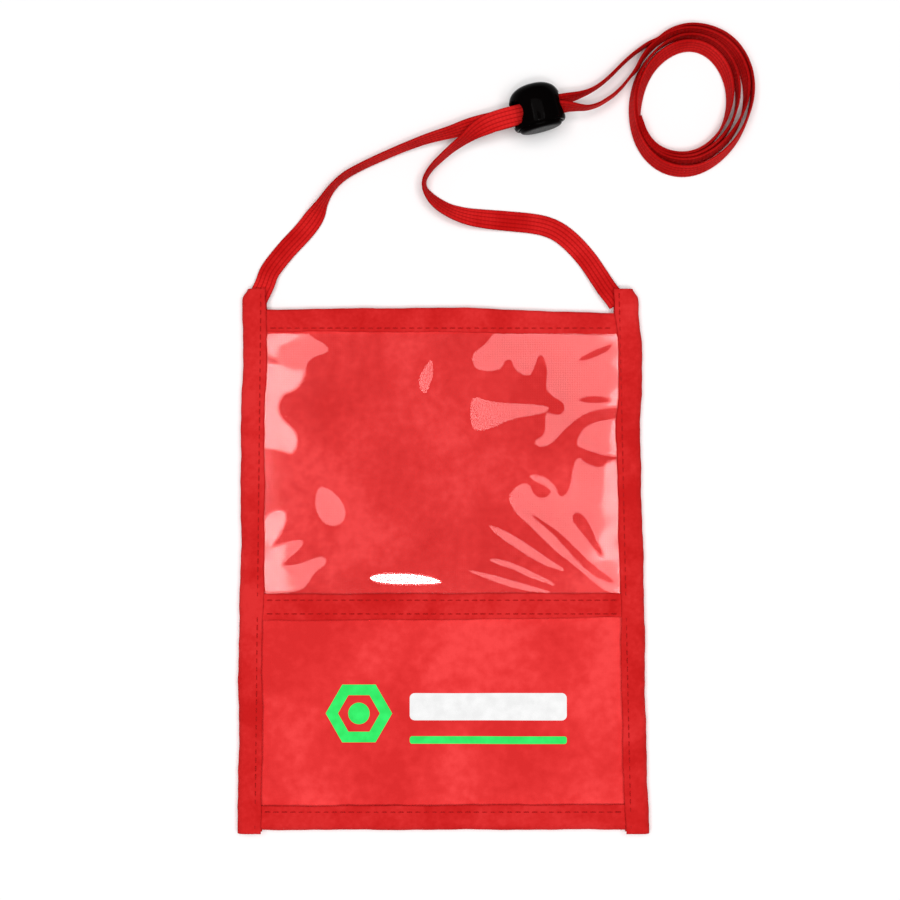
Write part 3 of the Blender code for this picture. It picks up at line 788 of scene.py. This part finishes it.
def cross_tape(name, node, section, base, top, bottom, fold_up, seams, seed):
    """A tape across the wallet. top and bottom are (x, y) stops of its two long edges."""
    x = stations(side_edge(-1, 0) + 5.4, side_edge(1, 0) - 5.4)[:, None]
    w, z = section[:, 0][None, :], section[:, 1][None, :]
    width = section[:, 0].max()
    share = w / width if fold_up else 1 - w / width
    high, low = eased_stops(x, top), eased_stops(x, bottom)
    y = low + (high - low) * share
    y = y + 0.16 * ripple(x, seed) * (1 - share) + 0.16 * ripple(x, seed + 3) * share
    upper = ease((z - section[:, 1].min()) / (0.6 * np.ptp(section[:, 1])) - 0.6)
    ends = np.minimum(x - x[0], x[-1] - x)
    drop = 0.42 * (1 - ease((ends - 1.5) / 5.0))
    height = base + z + upper * (0.1 * ripple(x, seed + 5, (19.0, 9.7, 5.3)) - drop)
    for seam in seams:
        height = height + upper * sewn(y, x, seam)
    rings = np.stack([x + 0 * w, y, height + 0 * w], -1)
    made = swept(name, rings, TAPE_CLOTH)
    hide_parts(node)
    return made


def tapes():
    left, right = side_binding(-1), side_binding(1)
    hem = fold_section(TOP_HEM[1] - TOP_HEM[0], HEM_HEIGHT)
    flat = flat_section(MIDDLE_TAPE[1] - MIDDLE_TAPE[0], TAPE)
    edge = fold_section(BOTTOM_BINDING[1] - BOTTOM_BINDING[0], BINDING_HEIGHT)
    front_hem = cross_tape(
        "front_hem_tape", "front_top_hem", hem, FRONT_HEM_Z, [(-58, 79.4), (0, 79.9), (56, 78.2)],
        [(-58, 72.4), (0, 72.2), (56, 71.0)], True, [TOP_STITCH_Y], 1.0,
    )
    back_hem = cross_tape(
        "back_hem_tape", "back_top_hem", hem, 0.0, [(-58, 78.9), (56, 77.8)],
        [(-58, 72.2), (56, 71.2)], True, [], 2.0,
    )
    middle = cross_tape(
        "middle_cross_tape", "middle_tape", flat, TAPE_TOP - TAPE / 2,
        [(-58, -10.4), (56, -10.1)], [(-58, -18.7), (0, -18.4), (56, -17.7)], True,
        list(MIDDLE_STITCHES_Y.values()), 3.0,
    )
    bottom = cross_tape(
        "bottom_edge_tape", "bottom_binding", edge, 0.0,
        [(-58, -77.1), (56, -76.7)], [(-58, -85.0), (56, -84.9)], False, [BOTTOM_STITCH_Y], 4.0,
    )
    return left, right, front_hem, back_hem, middle, bottom


# ------------ sewing

def stitch_row(name, node, start, end, surface):
    """A row of separate stitches, each a short round-ended thread sunk at both ends into the tape."""
    length = math.dist(start, end)
    count = round(length / STITCH_PITCH)
    direction = (np.array(end) - np.array(start)) / length
    across = np.array([-direction[1], direction[0]])
    steps = np.linspace(-1.0, 1.0, 9)
    turns = full_turn(8)
    points, faces = [], []
    for i in range(count):
        middle = np.array(start) + direction * (i + 0.5) * length / count
        for step in steps:
            radius = THREAD_RADIUS * math.sqrt(max(1 - step**4, 0.04))
            place = middle + direction * step * STITCH_LENGTH / 2
            height = surface + THREAD_PROUD - THREAD_SINK * step**4
            for turn in turns:
                xy = place + across * radius * math.cos(turn)
                points.append((xy[0], xy[1], height + radius * math.sin(turn)))
        base = i * len(steps) * len(turns)
        faces += [tuple(base + k for k in face) for face in ring_faces(len(steps), len(turns))]
    row = link(name, outward(mesh_of(name, points, faces)), THREAD, "wallet")
    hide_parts(node)
    return row


def stitching():
    rows = []
    for side, name in ((-1, "left"), (1, "right")):
        inset = BINDING_WIDTH - SIDE_STITCH_INSET
        ends = [(side_edge(side, y) - side * inset, y) for y in (-HALF_HEIGHT + 1.2, HALF_HEIGHT - 1.2)]
        surface = BINDING_HEIGHT - SEAM_DEPTH
        rows.append(stitch_row(f"{name}_side_stitches", f"{name}_stitching", *ends, surface))
    places = [("top_hem_stitches", "top_hem_stitching", TOP_STITCH_Y, FRONT_HEM_Z + HEM_HEIGHT)]
    for where, y in MIDDLE_STITCHES_Y.items():
        places.append((f"middle_{where}_stitches", f"middle_{where}_stitching", y, TAPE_TOP))
    places.append(("bottom_edge_stitches", "bottom_stitching", BOTTOM_STITCH_Y, BINDING_HEIGHT))
    for name, node, y, surface in places:
        ends = [(side_edge(side, y) - side * (BINDING_WIDTH + 0.8), y) for side in (-1, 1)]
        rows.append(stitch_row(name, node, *ends, surface - SEAM_DEPTH))
    return rows


# ------------ print

def printed(name, outline, holes, look):
    """A thin film of ink on the front cloth, filled between its outlines and following the cloth."""
    curve = bpy.data.curves.new(name, "CURVE")
    curve.dimensions = "2D"
    curve.fill_mode = "BOTH"
    for points in [outline, *holes]:
        spline = curve.splines.new("POLY")
        spline.points.add(len(points) - 1)
        for corner, (x, y) in zip(spline.points, points):
            corner.co = (x, y, 0.0, 1.0)
        spline.use_cyclic_u = True
    helper = added(name + "_outline", curve)
    flat = evaluated_mesh(helper)
    bpy.data.objects.remove(helper)
    shape = bmesh.new()
    shape.from_mesh(flat)
    for axis in range(2):
        values = [v.co[axis] for v in shape.verts]
        for cut in np.arange(min(values) + 1, max(values), PRINT_GRID):
            plane = Vector((0, 0, 0))
            plane[axis] = cut
            normal = Vector((0, 0, 0))
            normal[axis] = 1
            geometry = shape.verts[:] + shape.edges[:] + shape.faces[:]
            bmesh.ops.bisect_plane(shape, geom=geometry, plane_co=plane, plane_no=normal)
    lower = bmesh.ops.extrude_face_region(shape, geom=shape.faces[:])
    raised = {v for v in lower["geom"] if isinstance(v, bmesh.types.BMVert)}
    for v in shape.verts:
        ground = float(face_height(np.array(v.co.x), np.array(v.co.y))) + TAPE / 2
        v.co.z = ground + (PRINT_HALF_HEIGHT if v in raised else -PRINT_HALF_HEIGHT)
    bmesh.ops.scale(shape, vec=(MM, MM, MM), verts=shape.verts)
    bmesh.ops.recalc_face_normals(shape, faces=shape.faces)
    mesh = bpy.data.meshes.new(name)
    shape.to_mesh(mesh)
    shape.free()
    return link(name, mesh, look, "wallet")


def polygon(centre, radius, sides):
    angles = [2 * math.pi * i / sides for i in range(sides)]
    return [(centre[0] + radius * math.cos(a), centre[1] + radius * math.sin(a)) for a in angles]


def rounded_bar(left, right, low, high, radius):
    points = []
    for x, y, start in (
        (right - radius, high - radius, 0), (left + radius, high - radius, 90),
        (left + radius, low + radius, 180), (right - radius, low + radius, 270),
    ):
        points += [tuple(p) for p in arc((x, y), radius, start, start + 90, 9)]
    return points


def prints():
    """Plain shapes in place of the printed mark."""
    outline = polygon(HEXAGON_CENTRE, HEXAGON_RADIUS, 6)
    hole = polygon(HEXAGON_CENTRE, HEXAGON_HOLE_RADIUS, 6)
    badge = printed("print_hexagon", outline, [hole], GREEN_INK)
    dot = printed("print_dot", polygon(HEXAGON_CENTRE, DOT_RADIUS, 40), [], GREEN_INK)
    bar = printed("print_white_bar", rounded_bar(*BAR_X, *WHITE_BAR_Y, 1.6), [], WHITE_INK)
    line = printed("print_green_line", rounded_bar(*BAR_X, *GREEN_LINE_Y, 0.8), [], GREEN_INK)
    return badge, dot, bar, line


# ------------ the strap

def smooth_route(route, step):
    """Points a step apart on a smooth curve through the route, its roll carried along."""
    rows = np.array(route, float)
    rows = np.concatenate([[2 * rows[0] - rows[1]], rows, [2 * rows[-1] - rows[-2]]])
    dense = []
    for before, start, end, after in zip(rows, rows[1:], rows[2:], rows[3:]):
        for t in np.linspace(0.0, 1.0, 12, endpoint=False):
            dense.append(
                0.5 * (
                    2 * start + (end - before) * t + (2 * before - 5 * start + 4 * end - after) * t**2
                    + (3 * start - before - 3 * end + after) * t**3
                )
            )
    dense = np.array([*dense, rows[-2]])
    travelled = np.concatenate([[0.0], np.cumsum(np.linalg.norm(np.diff(dense[:, :3], axis=0), axis=1))])
    wanted = np.linspace(0.0, travelled[-1], int(travelled[-1] / step) + 1)
    return np.stack([np.interp(wanted, travelled, dense[:, k]) for k in range(4)], -1), wanted


def on_coil(turn, share):
    """A point of the coil's ring: turn in degrees from its right, share from its hole to its outside."""
    ring = []
    for centre, radii in ((COIL_HOLE_CENTRE, COIL_HOLE_RADII), (COIL_CENTRE, COIL_RADII)):
        x, y = radii[0] * math.cos(math.radians(turn)), radii[1] * math.sin(math.radians(turn))
        lean = math.radians(COIL_LEAN)
        across = centre[0] + x * math.cos(lean) + y * math.sin(lean)
        up = centre[1] - x * math.sin(lean) + y * math.cos(lean)
        ring.append((across, up))
    return [a + (b - a) * share for a, b in zip(*ring)]


def standing(turn, share, roll):
    """A route point on the coil, its lower edge near the floor and swaying a little."""
    x, y = on_coil(turn, share)
    height = STRAP_WIDTH / 2 * math.sin(math.radians(roll)) + TURN_CLEARANCE
    return (x, y, height + TURN_SWAY * math.sin(math.radians(3 * turn + 200 * share)), roll)


def coil_strand(stops):
    """Points round the coil, on a smoothed line through the stops, and on to the bight."""
    turns, shares, rolls = np.array(stops, float)[::-1].T
    points = []
    for turn in range(stops[0][0], stops[-1][0] - 1, -COIL_STEP):
        nearby = [turn + offset for offset in STOP_BLUR]
        share = float(np.mean(np.interp(nearby, turns, shares)))
        roll = float(np.mean(np.interp(nearby, turns, rolls)))
        points.append(standing(turn, share, roll))
    return [*points, standing(*BIGHT)]


def strap_section():
    """The ribbed section: (across, up) round both faces, and where each point is from 0 to 1 across."""
    across = np.linspace(-1.0, 1.0, 6 * STRAP_RIBS + 1)
    crown = np.abs(np.sin(np.pi * (across + 1) / 2 * STRAP_RIBS)) ** 0.6
    half = STRAP_THICKNESS / 2 * (0.70 + 0.30 * crown) * np.sqrt(np.clip(1 - across**8, 0.25, 1))
    top = np.stack([across * STRAP_WIDTH / 2, half], -1)
    bottom = np.stack([across[::-1] * STRAP_WIDTH / 2, -half[::-1]], -1)
    share = (np.concatenate([across, across[::-1]]) + 1) / 2
    return np.concatenate([top, bottom]), share


def half_strap(name, route, *nodes):
    """One half of the strap, from its side tape through the lock and round the coil to the bight."""
    rows, travelled = smooth_route(route, STRAP_STEP)
    centre = rows[:, :3]
    roll = np.radians(rows[:, 3])[:, None]
    along = np.gradient(centre, axis=0)
    along /= np.linalg.norm(along, axis=1)[:, None]
    left = np.cross([0.0, 0.0, 1.0], along)
    left /= np.linalg.norm(left, axis=1)[:, None]
    up = np.cross(along, left)
    width_way = np.cos(roll) * left + np.sin(roll) * up
    face_way = np.cross(along, width_way)
    section, share = strap_section()
    across = width_way[:, None, :] * section[None, :, :1]
    through = face_way[:, None, :] * section[None, :, 1:]
    rings = centre[:, None, :] + across + through
    uvs = np.stack(np.broadcast_arrays(travelled[:, None], share[None, :]), -1).reshape(-1, 2)
    made = swept(name, rings, STRAP, uvs)
    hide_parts(*nodes)
    return made, centre, travelled[-1]


# ------------ the cord lock

def lock_matrix():
    """From the lock's own frame, its Z along the button's travel, to the scene."""
    place = Matrix.Translation(Vector(LOCK_CENTRE) * MM)
    angle = Matrix.Rotation(math.radians(LOCK_ANGLE), 4, "Z")
    tip = Matrix.Rotation(math.radians(-90), 4, "X")
    return place @ angle @ tip @ Matrix.Rotation(math.radians(LOCK_ROLL), 4, "Z")


def rounded_profile(points, passes=2):
    """Corner cutting, which keeps both ends where they are."""
    for _ in range(passes):
        finer = [points[0]]
        for a, b in zip(points, points[1:]):
            finer.append((0.75 * a[0] + 0.25 * b[0], 0.75 * a[1] + 0.25 * b[1]))
            finer.append((0.25 * a[0] + 0.75 * b[0], 0.25 * a[1] + 0.75 * b[1]))
        points = finer + [points[-1]]
    return points


def turned(name, profile):
    """A closed solid turned from a profile of (radius, z) that starts and ends on the axis."""
    inner = [p for p in profile if p[0] > 1e-6]
    points = [(r * math.cos(a), r * math.sin(a), z) for r, z in inner for a in full_turn(LOCK_SIDES)]
    faces = ring_faces(len(inner), LOCK_SIDES)[:-2]
    for end, first in ((profile[0][1], 0), (profile[-1][1], (len(inner) - 1) * LOCK_SIDES)):
        points.append((0.0, 0.0, end))
        pole = len(points) - 1
        faces += [(pole, first + k, first + (k + 1) % LOCK_SIDES) for k in range(LOCK_SIDES)]
    return added(name, outward(mesh_of(name, points, faces)))


def box_tool(low, high, rounding=0.0):
    shape = bmesh.new()
    bmesh.ops.create_cube(shape, size=1.0)
    bmesh.ops.scale(shape, vec=[(b - a) * MM for a, b in zip(low, high)], verts=shape.verts)
    bmesh.ops.translate(shape, vec=[(a + b) / 2 * MM for a, b in zip(low, high)], verts=shape.verts)
    if rounding:
        along_x = [e for e in shape.edges if abs(e.verts[0].co.x - e.verts[1].co.x) > MM]
        bmesh.ops.bevel(shape, geom=along_x, offset=rounding * MM, segments=8, affect="EDGES", profile=0.5)
    return shape


def mouth_tool(side):
    shape = bmesh.new()
    bmesh.ops.create_uvsphere(shape, u_segments=64, v_segments=32, radius=1.0)
    bmesh.ops.scale(shape, vec=[radius * MM for radius in MOUTH_RADII], verts=shape.verts)
    centre = (side * MOUTH_FROM_CENTRE * MM, 0.0, sum(SLOT_Z) / 2 * MM)
    bmesh.ops.translate(shape, vec=centre, verts=shape.verts)
    return shape


def cut_away(obj, tools):
    """Applied Booleans, with the shading kept smooth except across real edges."""
    for number, shape in enumerate(tools):
        mesh = bpy.data.meshes.new(f"tool_{number}")
        shape.to_mesh(mesh)
        shape.free()
        tool = added(mesh.name, mesh)
        boolean = obj.modifiers.new("cut", "BOOLEAN")
        boolean.operation = "DIFFERENCE"
        boolean.solver = "EXACT"
        boolean.object = tool
        result = evaluated_mesh(obj)
        obj.modifiers.clear()
        obj.data = result
        bpy.data.objects.remove(tool)
    shape = bmesh.new()
    shape.from_mesh(obj.data)
    bmesh.ops.remove_doubles(shape, verts=shape.verts, dist=1e-6)
    for face in shape.faces:
        face.smooth = True
    for edge in shape.edges:
        edge.smooth = len(edge.link_faces) == 2 and edge.calc_face_angle(0.0) < math.radians(SHARP_EDGE)
    shape.to_mesh(obj.data)
    shape.free()


def lock_piece(name, node, body, profile, tools, look):
    obj = turned(name, profile)
    cut_away(obj, tools)
    obj.data.transform(lock_matrix())
    obj.data.materials.clear()
    obj.data.materials.append(look)
    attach(obj, body)
    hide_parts(node)
    return obj


def coil_spring():
    """The wire spring between barrel and button, made at its rest length; nothing here shortens it as the
    button is pressed.
    """
    turns = np.linspace(0.0, 2 * np.pi * SPRING_TURNS, SPRING_STEPS)[:, None]
    around = full_turn(SPRING_SIDES)[None, :]
    reach = SPRING_RADIUS + SPRING_WIRE_RADIUS * np.cos(around)
    height = np.linspace(*SPRING_Z, SPRING_STEPS)[:, None] + SPRING_WIRE_RADIUS * np.sin(around)
    rings = np.stack([reach * np.cos(turns), reach * np.sin(turns), height], -1)
    spring = swept("lock_coil_spring", rings, STEEL, body="lock")
    spring.data.transform(lock_matrix())
    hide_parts("lock_spring")
    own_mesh(spring)


def cord_lock():
    low = (-CUT_REACH, -SLOT_HALF_WIDTH, SLOT_Z[0])
    high = (CUT_REACH, SLOT_HALF_WIDTH, SLOT_Z[1])
    slot = box_tool(low, high, SLOT_ROUNDING)
    barrel = lock_piece(
        "lock_shell", "lock_barrel", "lock", rounded_profile(DOME) + CAVITY,
        [slot, mouth_tool(-1), mouth_tool(1)], BARREL_PLASTIC,
    )
    button = lock_piece(
        "lock_button", "lock_plunger", "button", rounded_profile(BUTTON) + PLUNGER,
        [box_tool(*PLUNGER_WINDOW)], BUTTON_PLASTIC,
    )
    coil_spring()
    return barrel, button


# ------------ stage, lights and camera

def floor():
    shape = bmesh.new()
    bmesh.ops.create_grid(shape, x_segments=1, y_segments=1, size=FLOOR_HALF_SIZE)
    mesh = bpy.data.meshes.new("floor")
    shape.to_mesh(mesh)
    shape.free()
    look = Look("pale floor", Roughness=0.9, Specular_IOR_Level=0.1)
    look.colour((FLOOR_WHITE, FLOOR_WHITE, FLOOR_WHITE, 1.0))
    plane = link("floor", mesh, look.material, body=None)
    plane.location.z = FLOOR_Z * MM


def softbox(name, left, right, low, high, radiance, height=LIGHT_HEIGHT):
    """A rectangular softbox facing down, its edges given as slopes from straight up, of that brightness."""
    data = bpy.data.lights.new(name, "AREA")
    data.shape = "RECTANGLE"
    data.size = (right - left) * height
    data.size_y = (high - low) * height
    data.energy = radiance * math.pi * data.size * data.size_y
    x, y = (value * MM for value in CAMERA_OVER)
    lamp = added(name, data)
    lamp.location = (x + (left + right) / 2 * height, y + (low + high) / 2 * height, height)


def lights():
    inner, outer = FRAME_INNER, FRAME_OUTER
    softbox("left_softbox", -outer, -inner, -outer, outer, FRAME_RADIANCE)
    softbox("right_softbox", inner, outer, -outer, outer, FRAME_RADIANCE)
    softbox("top_softbox", -inner, inner, inner, outer, FRAME_RADIANCE)
    softbox("bottom_softbox", -inner, inner, -outer, -inner, FRAME_RADIANCE)
    for strip in STRIPS:
        softbox(*strip, STRIP_HEIGHT)
    world = bpy.data.worlds.new("studio")
    world.use_nodes = True
    background = world.node_tree.nodes["Background"]
    background.inputs["Color"].default_value = (1.0, 1.0, 1.0, 1.0)
    background.inputs["Strength"].default_value = WORLD_STRENGTH
    bpy.context.scene.world = world


def camera():
    data = bpy.data.cameras.new("camera")
    data.sensor_width = SENSOR
    data.lens = SENSOR * (CAMERA_HEIGHT - FRONT_PANEL_Z) / VIEW_WIDTH
    data.clip_start = 0.01
    obj = added("camera", data)
    obj.location = (CAMERA_OVER[0] * MM, CAMERA_OVER[1] * MM, CAMERA_HEIGHT * MM)
    bpy.context.scene.camera = obj


# ------------ build

camera()
lights()
floor()
lock_shell, lock_button = cord_lock()
outer_half, outer_line, outer_length = half_strap(
    "strap_left_half", LEFT_ROUTE + coil_strand(OUTER_STRAND), "strap_left_leg", "strap_coil"
)
inner_half, inner_line, inner_length = half_strap(
    "strap_right_half", RIGHT_ROUTE + coil_strand(INNER_STRAND), "strap_right_leg"
)
front_cloth, back_cloth = cloth_panels()
window = vinyl_window()
left_tape, right_tape, front_hem, back_hem, middle_tape, bottom_tape = tapes()
stitch_rows = stitching()
marks = prints()

bpy.context.scene.view_settings.view_transform = "Standard"
bpy.context.view_layer.update()
